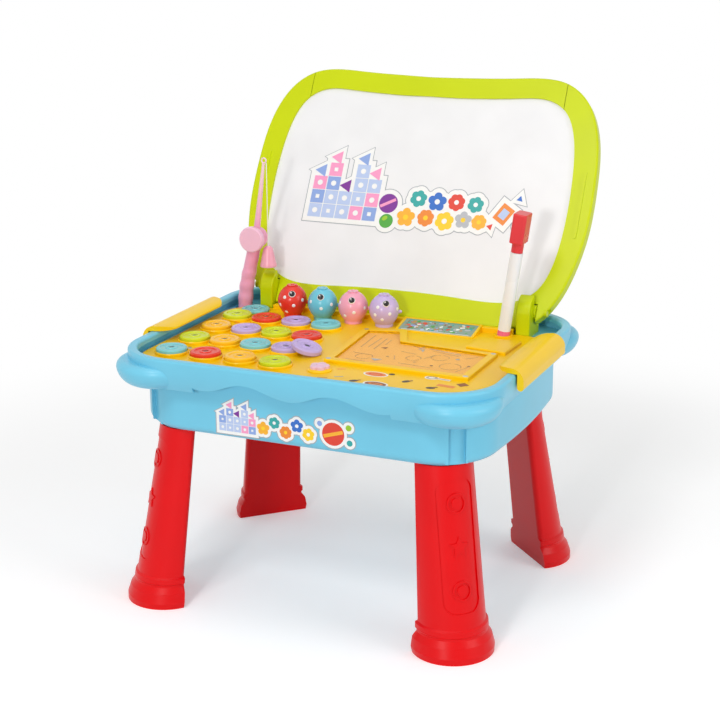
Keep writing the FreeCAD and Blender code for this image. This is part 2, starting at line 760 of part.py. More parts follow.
# One more purple token leans on the edge of its neighbour
lean_on = token_places["token_purple_24"]
touch_x = lean_on.x + token_r - 1.2
touch_z = cup_floor_z + 2 * token_gap + token_height
loose_turn = 17.0
loose_rise = (token_r - 0.8) * math.sin(math.radians(loose_turn))
loose_z = board_z + token_gap + loose_rise
loose_x = touch_x + (touch_z - loose_z) / math.tan(math.radians(loose_turn))
loose = token(token_height)
loose.rotate(V(0, 0, 0), Y_AXIS, loose_turn)
loose.translate(V(loose_x, lean_on.y, loose_z))
parts["token_purple_loose"] = loose


# Birds: an egg-shaped body on a short foot, with a scalloped crest and a small beak
def bird():
    low = board_z + token_gap
    egg = Part.BSplineCurve()
    crown_z = bird_top_z - bird_crest
    egg.interpolate([V(bird_foot_r, 0, low + bird_foot), V(bird_r * 0.87, 0, bird_belly_z - 7.2),
                     V(bird_r, 0, bird_belly_z), V(bird_r * 0.945, 0, bird_belly_z + 6.5),
                     V(bird_r * 0.775, 0, bird_belly_z + 11.5),
                     V(bird_r * 0.56, 0, bird_belly_z + 14.9), V(bird_crest_r, 0, crown_z)])
    wire = Part.Wire([line(V(0, 0, low), V(bird_foot_r, 0, low)),
                      line(V(bird_foot_r, 0, low), V(bird_foot_r, 0, low + bird_foot)),
                      egg.toShape(),
                      line(V(bird_crest_r, 0, crown_z), V(0, 0, crown_z)),
                      line(V(0, 0, crown_z), V(0, 0, low))])
    shape = Part.Face(wire).revolve(V(0, 0, 0), Z_AXIS, 360)
    bumps = [rod_shape(bird_crest_r - 3.2, bird_crest + 0.8, V(0, 0, crown_z - 1))]
    for i in range(7):
        turn = 2 * math.pi * i / 7
        out = bird_crest_r - 2.7
        bumps.append(rod_shape(2.0, bird_crest + 1, V(out * math.sin(turn), out * math.cos(turn),
                                                      crown_z - 1)))
    beak = Part.makeCone(3.6, 1.2, bird_r * 0.48, V(bird_r * 0.7, 0, bird_belly_z - 1.0), X_AXIS)
    shape = fuse_all([shape, beak] + bumps)
    shape.rotate(V(0, 0, 0), Z_AXIS, bird_turn)
    return shape


for i, colour in enumerate(("red", "blue", "pink", "lilac")):
    one = bird()
    one.translate(V(bird_first_x + bird_pitch * i, bird_y, 0))
    parts["bird_" + colour] = one

# Drawing board, built lying in its own plane: x across, y up the board from its zero
# line, z out of the front face. It is then leaned back about the hinge axis.
outer_half = [V(0, 266.2, 0), V(30, 266.8, 0), V(60, 267.7, 0), V(90, 269.2, 0), V(120, 270.5, 0),
              V(148.5, 265.6, 0), V(172.3, 247.8, 0), V(186.8, 221.3, 0), V(193.9, 192, 0),
              V(196.5, 162.5, 0), V(197.3, 133, 0), V(196.2, 103.4, 0), V(191.8, 74, 0),
              V(184, 44.6, 0), V(171.2, 17.8, 0), V(157, 2.5, 0), V(138, -5.2, 0), V(112, -8, 0),
              V(60, -8, 0), V(0, -8, 0)]
inner_half = [V(0, 243.3, 0), V(30, 243.1, 0), V(60, 244, 0), V(90, 245.7, 0), V(112, 247.2, 0),
              V(130, 245.8, 0), V(150.4, 234.4, 0), V(163, 212, 0), V(168.6, 187.2, 0),
              V(171.2, 161.6, 0), V(172.2, 136, 0), V(171.8, 110, 0), V(169.8, 84, 0),
              V(164.6, 57.5, 0), V(154, 36, 0), V(141, 25.8, 0), V(126, 20.6, 0), V(105, 18.6, 0),
              V(77, 19.4, 0), V(50, 20.8, 0), V(25, 21.5, 0), V(0, 21.6, 0)]


def closed_curve(half, grow=0.0):
    """Closed smooth outline from its right half, both end points on the centre line."""
    left = [V(-p.x, p.y, p.z) for p in half[1:-1]]
    curve = Part.BSplineCurve()
    curve.interpolate(Points=half + left[::-1], PeriodicFlag=True)
    if grow:
        edge = curve.toShape()
        moved = []
        for share in range(outline_steps):
            at_length = edge.getParameterByLength(edge.Length * share / outline_steps)
            along = edge.tangentAt(at_length)
            moved.append(edge.valueAt(at_length) + V(-along.y, along.x, 0) * grow)
        curve = Part.BSplineCurve()
        curve.interpolate(Points=moved, PeriodicFlag=True)
    return Part.Wire([curve.toShape()])


def board_prism(half, grow, z0, z1):
    shape = fill(closed_curve(half, grow), V(0, 0, z1 - z0))
    shape.translate(V(0, 0, z0))
    return shape


frame = board_prism(outer_half, 0, -frame_thick, 0)
frame = round_edges(frame, 2.0, lambda e: edge_at_z(0)(e) or edge_at_z(-frame_thick)(e))
frame = frame.cut(board_prism(inner_half, 0, -frame_thick - 1, 1))
sheet_back = sheet_recess + sheet_thick
frame = frame.cut(board_prism(inner_half, sheet_grip, -frame_thick - 1, -sheet_recess))
drawing_sheet = board_prism(inner_half, sheet_grip - 0.3, -sheet_back, -sheet_recess - 0.05)
back_panel = board_prism(inner_half, sheet_grip - 0.3, -frame_thick, -frame_thick + back_thick)
spacer = board_prism(inner_half, sheet_grip - 0.3, -frame_thick + back_thick, -sheet_back - 0.05)
spacer = spacer.cut(board_prism(inner_half, -2.5, -frame_thick - 1, 0))
back_panel = fuse_all([back_panel, spacer])

# A raised rib on each side, and the notches around the hinge posts
rib = solid_box(rib_x - rib_width / 2, rib_x + rib_width / 2, rib_low, rib_high, -1, rib_height)
rib = round_edges(rib, rib_width / 2 - 0.05,
                  lambda e: abs(e.BoundBox.ZLength - rib_height - 1) < 1e-6)
frame = fuse_all([frame, rib, mirror_x(rib)])
axis_point = V(0, axis_up_board, -face_step)
notch_width = post_thick + post_boss + 2 * post_gap
notch_start = V(post_inner_x - post_gap, axis_point.y, axis_point.z)
notch = solid_box(notch_start.x, notch_start.x + notch_width, -20,
                  axis_up_board + notch_rise, -40, 40)
pin_low_x = post_inner_x - 16.0
pin_head_x = notch_start.x + notch_width + pin_reach
pin_end_x = pin_head_x + pin_head
pin_bore = rod_shape(pin_r + pin_run_gap, pin_end_x - pin_low_x + 20,
                     V(pin_low_x, axis_point.y, axis_point.z), X_AXIS)
head_bore = rod_shape(pin_head_r + 0.1, 20, V(pin_head_x - 0.1, axis_point.y, axis_point.z),
                      X_AXIS)
pin = rod_shape(pin_r, pin_end_x - pin_low_x - 0.5,
                V(pin_low_x + 0.5, axis_point.y, axis_point.z), X_AXIS)
pin = pin.fuse(rod_shape(pin_head_r, pin_end_x - pin_head_x,
                         V(pin_head_x, axis_point.y, axis_point.z), X_AXIS))
for cut_piece in (notch, pin_bore, head_bore):
    frame = frame.cut(cut_piece).cut(mirror_x(cut_piece))

# Top rail: the part of the frame between the two seams
rail_low = 225.0
past_top = max(p.y for p in outer_half) + 30
rail_box = solid_box(-seam_x, seam_x, rail_low, past_top, -frame_thick - 1, 1)
seam_box = solid_box(-seam_x - seam_gap, seam_x + seam_gap, rail_low, past_top, -frame_thick - 1, 1)
top_rail = frame.common(rail_box)
board_frame = frame.cut(seam_box)


def lean_back(shape):
    moved = shape.copy()
    moved.translate(V(0, -axis_point.y, -axis_point.z))
    moved.rotate(V(0, 0, 0), X_AXIS, 90 - lean)
    moved.translate(V(0, hinge_y, hinge_z))
    return moved


# Six screws hold the back panel to the frame
back_screw_spots = [V(-155, 130, 0), V(155, 130, 0), V(-100, 30, 0), V(100, 30, 0),
                    V(-100, 233, 0), V(100, 233, 0)]
back_screws = []
for spot in back_screw_spots:
    head = rod_shape(screw_head_r, screw_head_height, V(spot.x, spot.y, -frame_thick - screw_head_height))
    shank = rod_shape(screw_r, back_thick + 4, V(spot.x, spot.y, -frame_thick))
    back_screws.append(head.fuse(shank))
    back_panel = back_panel.cut(rod_shape(screw_r, back_thick + 4, V(spot.x, spot.y, -frame_thick)))
parts["back_screws"] = Part.makeCompound([lean_back(s) for s in back_screws])
parts["board_frame"] = lean_back(board_frame)
parts["board_top_rail"] = lean_back(top_rail)
parts["drawing_sheet"] = lean_back(drawing_sheet)
parts["board_back"] = lean_back(back_panel)
parts["hinge_pins"] = Part.makeCompound([lean_back(pin), lean_back(mirror_x(pin))])

# Hinge posts: upright plates screwed to the rear deck. The round front cheek stands
# in front of the board; behind it the post is low, so that the board can swing.


def post_point(y, z):
    return V(post_inner_x, hinge_y + y, hinge_z + z)


cheek_y = -face_step - post_gap
cheek_top = math.sqrt(post_r ** 2 - cheek_y ** 2)
hub_join = math.sqrt(post_hub_r ** 2 - cheek_y ** 2)
hub_end = math.sqrt(post_hub_r ** 2 - post_gap ** 2)
cheek_mid_y = -post_r * math.cos(math.radians(40))
cheek_mid_z = post_r * math.sin(math.radians(40))
post_drop = seat_z - hinge_z
post_wire = Part.Wire([
    line(post_point(-post_r, post_drop), post_point(-post_r, 0)),
    arc(post_point(-post_r, 0), post_point(cheek_mid_y, cheek_mid_z),
        post_point(cheek_y, cheek_top)),
    line(post_point(cheek_y, cheek_top), post_point(cheek_y, hub_join)),
    arc(post_point(cheek_y, hub_join), post_point(0, post_hub_r), post_point(hub_end, -post_gap)),
    line(post_point(hub_end, -post_gap), post_point(post_reach, -post_gap)),
    line(post_point(post_reach, -post_gap), post_point(post_reach, post_drop)),
    line(post_point(post_reach, post_drop), post_point(-post_r, post_drop))])
post = fill(post_wire, V(post_thick, 0, 0))
post = round_edges(post, 1.5, lambda e: e.BoundBox.XLength < 1e-6
                   and e.BoundBox.YMax < hinge_y + cheek_y + 1e-3
                   and e.BoundBox.ZMin > seat_z + 1 and e.BoundBox.YLength > 1)
post = post.fuse(rod_shape(post_hub_r, post_boss + 1.0, V(post_outer_x - 1.0, hinge_y, hinge_z), X_AXIS))
post_holes = [rod_shape(pin_r + pin_run_gap, post_thick + post_boss + 2,
                        V(post_inner_x - 1, hinge_y, hinge_z), X_AXIS)]
for y in post_screw_y:
    post_holes.append(rod_shape(screw_r, post_screw_depth + 0.5, V(post_mid_x, y, seat_z - 0.5)))
post = post.cut(Part.makeCompound(post_holes))
parts["hinge_post_right"] = post
parts["hinge_post_left"] = mirror_x(post)

# Side latches: a saddle over the rim that turns outwards on pins in the tub's lugs
latch_length = latch_rear_y - latch_front_y
over_rim_z = rim_top_z + latch_gap
flap_inner_x = latch_outer_x - latch_flap
flap_half = latch_flap / 2
latch_dome = 16.0            # run of the round from the flap into the top


def at(x, z):
    return V(x, latch_front_y, z)


round_low = latch_low_z + flap_half
latch_wire = Part.Wire([
    arc(at(flap_inner_x, round_low), at(latch_outer_x - flap_half, latch_low_z),
        at(latch_outer_x, round_low)),
    line(at(latch_outer_x, round_low), at(latch_outer_x, latch_top_z - 11)),
    arc(at(latch_outer_x, latch_top_z - 11), at(latch_outer_x - 4.4, latch_top_z - 3.2),
        at(latch_outer_x - latch_dome, latch_top_z)),
    arc(at(latch_outer_x - latch_dome, latch_top_z), at(latch_inner_x + 6, latch_top_z - 0.9),
        at(latch_inner_x, latch_top_z - 3.6)),
    line(at(latch_inner_x, latch_top_z - 3.6), at(latch_inner_x, over_rim_z)),
    line(at(latch_inner_x, over_rim_z), at(flap_inner_x, over_rim_z)),
    line(at(flap_inner_x, over_rim_z), at(flap_inner_x, round_low))])
latch = fill(latch_wire, V(0, latch_length, 0))
end_round = 22.0


def plan_corner(x, y, sx, sy):
    """The waste outside a rounded plan corner at x, y whose round lies towards sx, sy."""
    z0 = latch_low_z - 1
    tall = latch_top_z - z0 + 2
    block = solid_box(min(x, x + sx * end_round), max(x, x + sx * end_round),
                      min(y, y + sy * end_round), max(y, y + sy * end_round), z0, z0 + tall)
    grown = solid_box(min(x - sx, x + sx * end_round), max(x - sx, x + sx * end_round),
                      min(y - sy, y + sy * end_round), max(y - sy, y + sy * end_round),
                      z0, z0 + tall)
    disc = rod_shape(end_round, tall, V(x + sx * end_round, y + sy * end_round, z0))
    return fuse_all([block, grown]).cut(disc)


latch = latch.cut(plan_corner(latch_inner_x, latch_front_y, 1, 1))
latch = latch.cut(plan_corner(latch_inner_x, latch_rear_y, 1, -1))
pins = []
for y in lug_y:
    gap = lug_width / 2 + latch_gap
    notch_box = solid_box(flap_inner_x - 1, latch_axis_x + lug_r + latch_gap, y - gap, y + gap,
                          latch_low_z - 1, latch_axis_z + lug_r + latch_gap)
    bore = rod_shape(latch_pin_r + pin_run_gap, lug_width + 14, V(latch_axis_x, y - gap - 6.6,
                                                                 latch_axis_z), Y_AXIS)
    latch = latch.cut(notch_box).cut(bore)
    pin_piece = rod_shape(latch_pin_r, lug_width + 12, V(latch_axis_x, y - lug_width / 2 - 6,
                                                        latch_axis_z), Y_AXIS)
    pins = pins + [pin_piece, mirror_x(pin_piece)]
parts["side_latch_right"] = latch
parts["side_latch_left"] = mirror_x(latch)
parts["latch_pins"] = Part.makeCompound(pins)

# Fishing rod: a curved grip with three finger swells, a hub for the reel, a thin tapered
# pole and a ring at its tip for the line
grip_length = reel_z - 6.0 - dish_floor_z - 0.5
grip_steps = 46
bend_run = 40.0              # the grip's lower part bends over this height, then runs straight
bend = 0.0028
swell_start = 10.5
swell_pitch = 14.0
grip_rings = []
for i in range(grip_steps + 1):
    up = grip_length * i / grip_steps
    low = min(up, bend_run)
    x = rod_foot_x + bend * low * low + 2 * bend * bend_run * (up - low) * 1.08
    r = grip_low_r + (grip_high_r - grip_low_r) * up / grip_length
    if swell_start < up < swell_start + 3 * swell_pitch:
        r = r + finger_grip * math.sin(math.pi * (up - swell_start) / swell_pitch) ** 2
    ring = Part.makeCircle(r, V(x, rod_y, dish_floor_z + 0.5 + up), Z_AXIS)
    grip_rings.append(Part.Wire([ring]))
grip = Part.makeLoft(grip_rings, True, True)
hub_y = reel_front_y + reel_thick + 0.3
grip = grip.cut(rod_shape(reel_r + 0.6, 12.0, V(reel_x, hub_y - 12.0, reel_z), Y_AXIS))
foot_ring = Part.makeCone(grip_low_r + 1.0, grip_low_r + 0.4, 4.0,
                          V(rod_foot_x, rod_y, dish_floor_z + 0.05))
foot_peg = rod_shape(rod_socket_r, rod_socket_depth - 0.2,
                     V(rod_foot_x, rod_y, dish_floor_z - rod_socket_depth + 0.3))
hub = rod_shape(hub_r, rod_y + 6.5 - hub_y, V(reel_x, hub_y, reel_z), Y_AXIS)
hub = round_edges(hub, 1.5, lambda e: e.BoundBox.YMin > rod_y + 6)
axle = rod_shape(2.2, reel_thick - 1.5, V(reel_x, hub_y - reel_thick + 1.5, reel_z), Y_AXIS)
pole_start = V(reel_x + 0.5, rod_y, reel_z + 4.0)
ring_centre = V(tip_x, rod_y, tip_z)
pole_run = ring_centre - pole_start
pole_length = pole_run.Length - tip_ring_r
pole = Part.makeCone(3.8, 1.5, pole_length, pole_start, pole_run)
tip_ring = Part.makeTorus(tip_ring_r, tip_wire_r, ring_centre, Y_AXIS)
rod = fuse_all([grip, foot_ring, foot_peg, hub, axle, pole, tip_ring])
parts["fishing_rod"] = rod
reel = revolve([(2.25, 0), (reel_r - 1.2, 0), (reel_r, 1.2), (reel_r, reel_thick - 1.2),
                (reel_r - 1.2, reel_thick), (0, reel_thick), (0, 1.4 + 4.9), (2.25, 1.4 + 4.9)])
reel.rotate(V(0, 0, 0), X_AXIS, 90)
reel.translate(V(reel_x, reel_front_y + reel_thick, reel_z))
parts["reel"] = reel

# Fishing line with its bell-shaped weight and the magnet in the weight's underside
line_x = tip_x + tip_ring_r + 0.3
ring_reach = tip_ring_r + tip_wire_r
line_top_z = tip_z - math.sqrt(ring_reach ** 2 - (line_x - tip_x - line_d / 2) ** 2) - 0.1
fishing_line = rod_shape(line_d / 2, line_top_z - bell_top_z, V(line_x, rod_y, bell_top_z))
print("fishing line length", round(line_top_z - bell_top_z, 1), "mm, straight")
bell = revolve([(0, bell_low_z), (bell_low_r, bell_low_z), (bell_low_r, bell_low_z + 2.0),
                (bell_low_r - 1.0, bell_low_z + 6.0), (bell_top_r + 0.6, bell_top_z - 6.5),
                (bell_top_r - 0.4, bell_top_z - 2.2), (bell_top_r - 2.6, bell_top_z), (0, bell_top_z)],
               line_x, rod_y)
magnet_r = 5.0
magnet_height = 2.0
magnet = rod_shape(magnet_r, magnet_height - 0.2, V(line_x, rod_y, bell_low_z + 0.2))
bell = bell.cut(rod_shape(magnet_r + 0.1, magnet_height + 1, V(line_x, rod_y, bell_low_z - 1)))
parts["fishing_line"] = fishing_line
parts["line_weight"] = bell
parts["weight_magnet"] = magnet


# Marker: barrel, end plug, felt tip, and a cap with an eraser block
def on_marker(distance):
    return marker_foot + marker_axis * distance


tip_barrel_r = 4.4
tip_barrel = 12.0
felt_r = 2.0
felt_length = 9.0
plug_length = marker_plug
barrel = rod_shape(marker_r, marker_length - plug_length, on_marker(plug_length), marker_axis)
barrel = barrel.fuse(rod_shape(tip_barrel_r, tip_barrel, on_marker(marker_length), marker_axis))
plug = rod_shape(marker_r, plug_length, on_marker(0), marker_axis)
plug = round_edges(plug, 1.0, lambda e: e.BoundBox.ZMax < marker_foot_z + 2)
felt = rod_shape(felt_r, felt_length, on_marker(marker_length + tip_barrel), marker_axis)
cap_start = marker_length + 0.3
neck_piece = rod_shape(cap_neck_r, cap_neck + 1, on_marker(cap_start), marker_axis)
block = solid_box(-cap_block_width / 2, cap_block_width / 2, -cap_block_depth / 2,
                  cap_block_depth / 2, 0, cap_block)
block = round_edges(block, cap_block_round, lambda e: e.BoundBox.ZLength > 1)
block = round_edges(block, cap_block_round / 2, edge_at_z(0))
block = round_edges(block, cap_block_round / 2, edge_at_z(cap_block))
block.rotate(V(0, 0, 0), Y_AXIS, marker_lean)
block.translate(on_marker(cap_start + cap_neck))
cap = neck_piece.fuse(block)
cap = cap.cut(rod_shape(tip_barrel_r + pin_run_gap, tip_barrel + 0.2, on_marker(marker_length),
                        marker_axis))
cap = cap.cut(rod_shape(felt_r + 0.6, felt_length + 2.0, on_marker(marker_length + tip_barrel),
                        marker_axis))
parts["marker_barrel"] = barrel
parts["marker_plug"] = plug
parts["marker_tip"] = felt
parts["marker_cap"] = cap

# The origin goes to the floor, below the middle of the whole table
lobe_front_y = -lobe_y - lobe_r
board_rear_y = max(parts[name].optimalBoundingBox(False, False).YMax
                   for name in ("board_frame", "board_top_rail"))
middle_y = (lobe_front_y + board_rear_y) / 2
print("middle of the whole table behind the tub's centre:", round(middle_y, 3))

os.makedirs("parts", exist_ok=True)
for name in sorted(parts):
    shape = parts[name]
    shape.translate(V(0, -middle_y, 0))
    if not shape.isValid():
        print("not valid:", name)
    print(name, len(shape.Solids), "solid(s)", round(sum(s.Volume for s in shape.Solids) / 1000, 2),
          "cm3")
    shape.exportStep("parts/" + name + ".step")
print(len(parts), "nodes")
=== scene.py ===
import math
import random

import bmesh
import bpy
from mathutils import Matrix, Vector


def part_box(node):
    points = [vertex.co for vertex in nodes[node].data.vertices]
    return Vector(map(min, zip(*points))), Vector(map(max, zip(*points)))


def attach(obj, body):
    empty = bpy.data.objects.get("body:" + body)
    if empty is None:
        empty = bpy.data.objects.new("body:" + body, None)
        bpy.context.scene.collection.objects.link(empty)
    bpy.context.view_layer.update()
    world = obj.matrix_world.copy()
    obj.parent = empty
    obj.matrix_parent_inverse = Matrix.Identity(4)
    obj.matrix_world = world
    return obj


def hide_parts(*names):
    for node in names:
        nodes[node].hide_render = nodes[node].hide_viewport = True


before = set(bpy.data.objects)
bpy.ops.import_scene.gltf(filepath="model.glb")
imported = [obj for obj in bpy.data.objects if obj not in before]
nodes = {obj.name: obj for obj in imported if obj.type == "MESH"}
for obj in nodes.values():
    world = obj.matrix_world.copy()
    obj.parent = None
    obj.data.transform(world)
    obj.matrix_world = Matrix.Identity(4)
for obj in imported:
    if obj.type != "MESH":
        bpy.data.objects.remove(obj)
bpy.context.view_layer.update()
mm = 0.001

# Tub: one injection-moulded ABS tray in sky blue, with a rolled rim, a wavy skirt and
# hollow bun-shaped corners. Its skin has the fine even grain of an etched mould.


def linear(code):
    """Linear RGBA from an sRGB hex colour such as 8FD3F0."""
    parts = [int(code[i:i + 2], 16) / 255 for i in (0, 2, 4)]
    return [c / 12.92 if c <= 0.04045 else ((c + 0.055) / 1.055) ** 2.4 for c in parts] + [1.0]


def add(tree, kind, settings=None, **sockets):
    """One shader node. Sockets take numbers, colours, or another node's output."""
    made = tree.nodes.new(kind)
    for key, value in (settings or {}).items():
        setattr(made, key, value)
    for key, value in sockets.items():
        place = made.inputs[int(key[1:])] if key[0] == "_" else made.inputs[key.replace("_", " ")]
        if isinstance(value, bpy.types.NodeSocket):
            tree.links.new(value, place)
        else:
            place.default_value = value
    return made


def empty_material(name):
    """A material with only its output, ready for nodes."""
    made = bpy.data.materials.new(name)
    made.use_nodes = True
    made.node_tree.nodes.clear()
    return made, made.node_tree, add(made.node_tree, "ShaderNodeOutputMaterial")


def moulded(name, code, roughness=0.32, grain_mm=1.6, grain=0.05, coat=0.05, shine=0.38):
    """Injection-moulded plastic: a gloss shell over a fine spark-eroded grain, with a
    slow drift of tone where the melt cooled."""
    made, tree, out = empty_material(name)
    place = add(tree, "ShaderNodeTexCoord").outputs["Object"]
    drift = add(tree, "ShaderNodeTexNoise", Vector=place, Scale=1 / (45 * mm), Detail=2.0)
    deep = [c * 0.93 for c in linear(code)[:3]] + [1.0]
    pale = [min(1.0, c * 1.04) for c in linear(code)[:3]] + [1.0]
    tone = add(tree, "ShaderNodeMix", {"data_type": "RGBA"}, _0=drift.outputs["Fac"],
               _6=deep, _7=pale)
    sheen = add(tree, "ShaderNodeMapRange", _0=drift.outputs["Fac"], _3=roughness - 0.04,
                _4=roughness + 0.05)
    skin = add(tree, "ShaderNodeTexNoise", Vector=place, Scale=1 / (grain_mm * mm), Detail=3.0)
    bump = add(tree, "ShaderNodeBump", Strength=grain, Distance=0.3 * mm,
               Height=skin.outputs["Fac"])
    shell = add(tree, "ShaderNodeBsdfPrincipled", Base_Color=tone.outputs[2],
                Roughness=sheen.outputs[0], IOR=1.5, Specular_IOR_Level=shine,
                Normal=bump.outputs[0], Coat_Weight=coat, Coat_Roughness=0.18)
    tree.links.new(shell.outputs[0], out.inputs[0])
    return made


def dress(material, *names):
    """Gives CAD nodes their finish."""
    for name in names:
        for place in nodes[name].material_slots:
            place.material = material


sky_blue = moulded("sky_blue_moulded_abs", "74CAE6", 0.34)
dress(sky_blue, "tub")

# Legs: red ABS mouldings, glossier than the tub, pushed into sleeves under it.
leg_red = moulded("red_moulded_abs", "E60008", 0.32, shine=0.22)
dress(leg_red, "leg_front_right", "leg_front_left", "leg_rear_right", "leg_rear_left")

# Play board: a thin yellow ABS moulding with raised cups, printed in a few flat inks.
# The window frame is moulded in the same yellow.
board_yellow = moulded("yellow_moulded_abs", "FFCB00", 0.32, shine=0.28)
dress(board_yellow, "play_board", "window_frame")


def ink(name, code, roughness=0.38):
    """Flat printed ink or vinyl film: even colour with a faint mottle."""
    made, tree, out = empty_material(name)
    place = add(tree, "ShaderNodeTexCoord").outputs["Object"]
    mottle = add(tree, "ShaderNodeTexNoise", Vector=place, Scale=1 / (3 * mm), Detail=2.0)
    deep = [c * 0.94 for c in linear(code)[:3]] + [1.0]
    tone = add(tree, "ShaderNodeMix", {"data_type": "RGBA"}, _0=mottle.outputs["Fac"],
               _6=deep, _7=linear(code))
    film = add(tree, "ShaderNodeBsdfPrincipled", Base_Color=tone.outputs[2],
               Roughness=roughness, IOR=1.48)
    tree.links.new(film.outputs[0], out.inputs[0])
    return made


inks = {
    "white": ink("white_vinyl_film", "F7F7F5"),
    "line": ink("grey_outline_ink", "A9ADB3"),
    "grey": ink("grey_ink", "B9BCC2"),
    "black": ink("black_ink", "2A2322"),
    "brown": ink("brown_ink", "8A4B22"),
    "orange": ink("orange_ink", "F08A2D"),
    "amber": ink("amber_ink", "FBB52B"),
    "yellow": ink("yellow_ink", "FFD21F"),
    "lime": ink("lime_ink", "9CCB2B"),
    "green": ink("green_ink", "4DA83A"),
    "teal": ink("teal_ink", "2FA9A5"),
    "blue": ink("blue_ink", "2F6FC9"),
    "periwinkle": ink("periwinkle_ink", "8FAAE3"),
    "cloud": ink("cloud_blue_ink", "BCCDF0"),
    "purple": ink("purple_ink", "7E2A97"),
    "pink": ink("pink_ink", "FA9FC9"),
    "red": ink("red_ink", "E2402C"),
    "tan": ink("tan_ink", "C08F56"),
}


def patch(bm, height, sides, size, x, y, stretch=1.0, turn=0.0):
    """One flat printed shape: a polygon or disc. Its height, radius (size) and place are
    in millimetres. It is made longer along its own X by stretch and then turned, in
    degrees."""
    place = (Matrix.Translation((x * mm, y * mm, height * mm))
             @ Matrix.Rotation(math.radians(turn), 4, "Z") @ Matrix.Diagonal((stretch, 1, 1, 1))
             @ Matrix.Rotation(math.pi / sides, 4, "Z"))
    bmesh.ops.create_circle(bm, cap_ends=True, segments=sides, radius=size * mm, matrix=place)


def bar(colour, width, x0, y0, x1, y1, layer=0):
    """A straight printed line between two points: a square drawn out along its length."""
    corner_radius = width * 0.707
    length = math.hypot(x1 - x0, y1 - y0)
    return (colour, 4, corner_radius, (x0 + x1) / 2, (y0 + y1) / 2, layer, length / width,
            math.degrees(math.atan2(y1 - y0, x1 - x0)))


def printed(name, place, body, shapes):
    """A sticker or print. Shapes are (ink, sides, size, x, y, layer, stretch, turn).
    Each lies a little above the one before, so that no two faces coincide."""
    rise_mm = 0.0018
    film = 0.05 * mm
    mesh = bpy.data.meshes.new(name)
    made = bpy.data.objects.new(name, mesh)
    bpy.context.collection.objects.link(made)
    whole = bmesh.new()
    colours = []
    for step, (colour, sides, size, x, y, layer, stretch, turn) in enumerate(
            sorted(shapes, key=lambda shape: shape[5])):
        if colour not in colours:
            colours.append(colour)
            mesh.materials.append(inks[colour])
        before = set(whole.faces)
        patch(whole, step * rise_mm, sides, size, x, y, stretch, turn)
        for face in set(whole.faces) - before:
            face.material_index = colours.index(colour)
    bmesh.ops.solidify(whole, geom=whole.faces[:], thickness=film)
    bmesh.ops.transform(whole, matrix=place, verts=whole.verts[:])
    bmesh.ops.recalc_face_normals(whole, faces=whole.faces[:])
    whole.to_mesh(mesh)
    whole.free()
    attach(made, body)
    return made


# The board's prints are placed in millimetres from the tub's centre.
tub_middle_y = -40.695 * mm
board_top_z = 252.1 * mm
tub_centre = Matrix.Translation((0, tub_middle_y, 0))
board_top = tub_centre @ Matrix.Translation((0, 0, board_top_z))
front_prints = []
for x, y, colour, middle in ((61.8, -87.5, "orange", "red"), (73.5, -116, "brown", "orange")):
    front_prints += [("white", 28, 7.6, x, y, 0, 1.7, -4), (colour, 28, 6.0, x, y, 1, 1.85, -4),
                     (middle, 28, 3.0, x, y, 2, 2.6, -4), (colour, 28, 1.2, x, y, 3, 4.4, -4)]
for x, y, turn in ((50.4, -114.4, 35), (97.2, -97.7, 55), (125.8, -107.7, 15)):
    front_prints += [("black", 28, 3.0, x, y, 1, 1.5, turn),
                     ("brown", 28, 1.5, x + 3.6, y + 3.4, 1, 1.6, turn)]
front_prints += [("black", 28, 2.7, 76.3, -81.9, 1, 1.1, 0),
                 ("white", 28, 5.6, 115.5, -77.5, 0, 1.3, 0), ("line", 28, 4.4, 115.5, -77.5, 1, 1.3, 0),
                 ("white", 28, 2.2, 115.5, -77.5, 2, 1.5, 0), bar("white", 4.4, 120, -78, 135, -79.5),
                 bar("line", 2.2, 121, -78.1, 134, -79.4, 1), bar("orange", 6.4, 128, -95.5, 146, -98),
                 bar("brown", 9.0, 147, -84.5, 153.5, -90.5, 1), bar("line", 1.6, 28, -110, 36, -106, 1),
                 bar("tan", 2.0, 14, -118, 24, -116, 1)]
printed("front_prints", board_top, "table", front_prints)
small_prints = []
for x, y, turn in ((-160, -60, 30), (-157, -30, 80), (-160, 4, 10), (-152, 32, 50), (-148, -78, 20)):
    small_prints += [("grey", 28, 2.4, x, y, 0, 1.5, turn), ("brown", 28, 1.2, x - 1, y + 4, 0, 1.8, turn),
                     ("orange", 28, 2.0, x + 4, y - 5, 0, 1.3, turn)]
for x, y in ((-100, -120), (-64, -122), (-28, -121), (24, -84), (10, -24), (-9, 22)):
    small_prints.append(("amber", 28, 3.0, x, y, 0, 1.6, 20))
printed("small_prints", board_top, "table", small_prints)

# Flower knob: a pale pink moulding pressed onto the board's round base.
petal_pink = moulded("pale_pink_moulded_abs", "EDC3D8", 0.30)
dress(petal_pink, "flower_knob")

